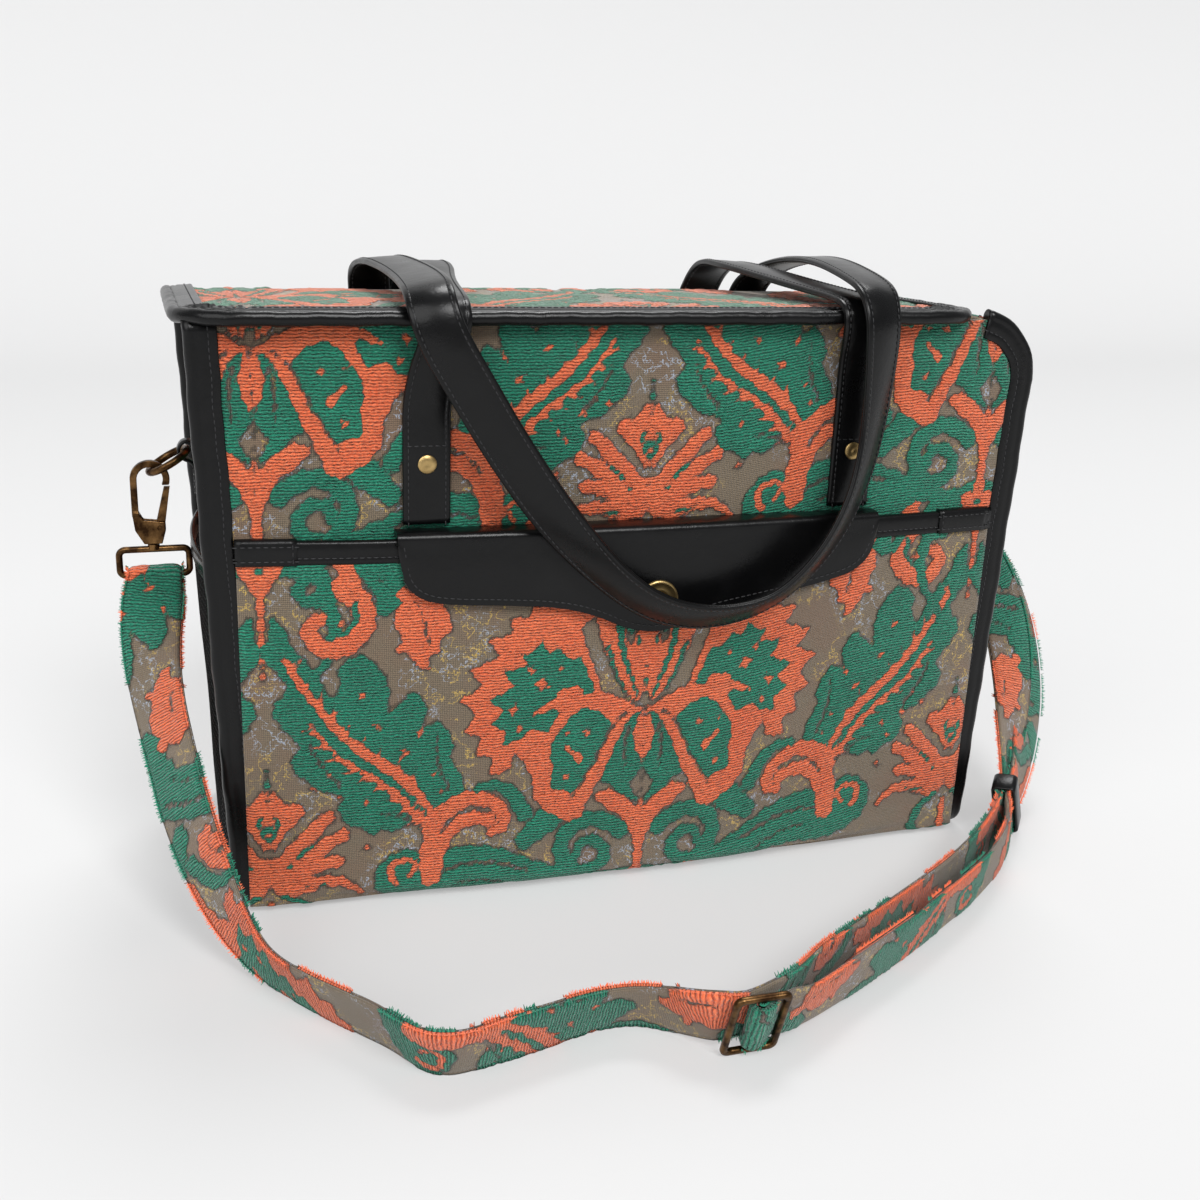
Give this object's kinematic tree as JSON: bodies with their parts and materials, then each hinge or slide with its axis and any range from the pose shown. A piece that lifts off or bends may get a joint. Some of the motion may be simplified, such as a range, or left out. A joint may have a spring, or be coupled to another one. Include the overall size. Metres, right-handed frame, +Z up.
{
  "type": "carpet bag",
  "caption": "Boxy carpet bag with leather trim, a flap lid, two drape handles, a front snap pocket, mesh end pockets and a shoulder strap on snap hooks.",
  "frame": {"origin": "centre of the base, on the floor", "axes": "+X to the right along the width, -Y to the front where the snap pocket is, +Z up"},
  "size_m": [0.5277, 0.3589, 0.3109],
  "materials": {
    "carpet": "woven chenille pile with a floral scroll pattern",
    "leather": "smooth satin black",
    "gold_brass": "brushed pale gold",
    "antique_brass": "dark antique",
    "mesh": "open knitted net",
    "webbing": "plain black binding tape",
    "lining": "plain matt cloth",
    "board": "plain stiffener board"
  },
  "bodies": {
    "root": {"base_board": "board", "binding_left": "leather", "binding_right": "leather", "body_wrap": "carpet", "end_panel_left": "carpet", "end_panel_right": "carpet", "front_handle": "leather", "front_pocket": "carpet", "handle_rivets": "gold_brass", "lid_band": "leather", "lid_panel": "carpet", "lid_piping": "leather", "lining": "lining", "mesh_hem_left": "webbing", "mesh_hem_right": "webbing", "mesh_pocket_left": "mesh", "mesh_pocket_right": "mesh", "pocket_binding": "leather", "pocket_flap": "leather", "rear_handle": "leather", "ring_tab_left": "leather", "ring_tab_right": "leather", "shoulder_strap": "carpet", "slider_bar": "antique_brass", "slider_frame": "antique_brass", "snap_disc": "gold_brass", "snap_stud": "gold_brass", "strap_eye_left": "antique_brass", "strap_eye_right": "antique_brass", "strap_keeper": "leather"},
    "ring_left_body": {"ring_left": "antique_brass"},
    "ring_right_body": {"ring_right": "antique_brass"},
    "hook_left_body": {"hook_left": "antique_brass", "gate_pin_left": "antique_brass"},
    "hook_right_body": {"hook_right": "antique_brass", "gate_pin_right": "antique_brass"},
    "gate_left_body": {"hook_gate_left": "antique_brass"},
    "gate_right_body": {"hook_gate_right": "antique_brass"}
  },
  "joints": [
    {"name": "ring_left_swing", "type": "hinge", "parent": "root", "child": "ring_left_body", "pos_m": [-0.20946, 0, 0.215], "axis": [0, 1, 0], "range_deg": [-8, 0]},
    {"name": "hook_left_swivel", "type": "hinge", "parent": "root", "child": "hook_left_body", "pos_m": [-0.22721, 0, 0.16905], "axis": [0, 0, 1], "range_deg": [-20, 20]},
    {"name": "gate_left_pivot", "type": "hinge", "parent": "hook_left_body", "child": "gate_left_body", "pos_m": [-0.22371, 0, 0.17705], "axis": [0, 1, 0], "range_deg": [-25, 0], "stiffness_Nm_per_rad": 0.002},
    {"name": "ring_right_swing", "type": "hinge", "parent": "root", "child": "ring_right_body", "pos_m": [0.20946, 0, 0.215], "axis": [0, 1, 0], "range_deg": [0, 8]},
    {"name": "hook_right_swivel", "type": "hinge", "parent": "root", "child": "hook_right_body", "pos_m": [0.22721, 0, 0.16905], "axis": [0, 0, 1], "range_deg": [-20, 20]},
    {"name": "gate_right_pivot", "type": "hinge", "parent": "hook_right_body", "child": "gate_right_body", "pos_m": [0.22371, 0, 0.17705], "axis": [0, 1, 0], "range_deg": [0, 25], "stiffness_Nm_per_rad": 0.002}
  ]
}
